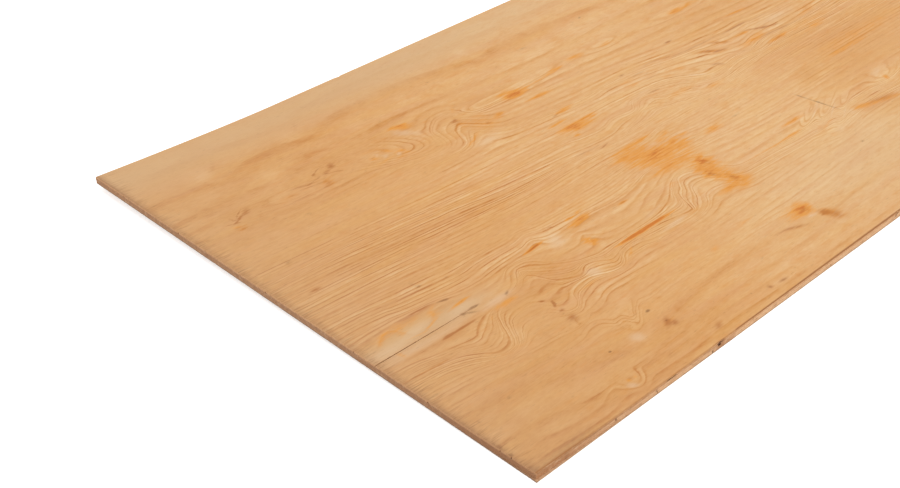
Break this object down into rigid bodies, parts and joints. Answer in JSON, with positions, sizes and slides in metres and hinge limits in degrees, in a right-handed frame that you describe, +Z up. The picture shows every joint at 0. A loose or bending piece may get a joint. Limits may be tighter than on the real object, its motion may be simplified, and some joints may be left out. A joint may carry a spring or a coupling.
{
  "type": "plywood sheet",
  "caption": "Softwood construction plywood sheet: long-grain face and back veneers over a cross-grain core, sawn edges and one slightly warped corner.",
  "frame": {"origin": "on the floor plane, under the middle of the sheet", "axes": "+X along the sheet and its face grain, away from the near end; +Y across the sheet, from the front edge to the back edge; +Z up, out of the face veneer"},
  "size_m": [2.4384, 1.2192, 0.0312],
  "materials": {
    "face_veneer": "satin, rotary-cut softwood face veneer, sanded",
    "core_veneer": "rough, sawn end grain of cross-laid veneers",
    "back_veneer": "rough, unsanded rotary-cut softwood veneer"
  },
  "bodies": {
    "root": {"back_veneer": "back_veneer", "lower_core_strip_1": "core_veneer", "lower_core_strip_2": "core_veneer", "lower_core_strip_3": "core_veneer", "lower_core_strip_4": "core_veneer", "lower_core_strip_5": "core_veneer", "lower_core_strip_6": "core_veneer", "lower_core_strip_7": "core_veneer", "upper_core_strip_1": "core_veneer", "upper_core_strip_2": "core_veneer", "upper_core_strip_3": "core_veneer", "upper_core_strip_4": "core_veneer", "upper_core_strip_5": "core_veneer", "upper_core_strip_6": "core_veneer", "upper_core_strip_7": "core_veneer", "face_veneer": "face_veneer"}
  },
  "joints": []
}
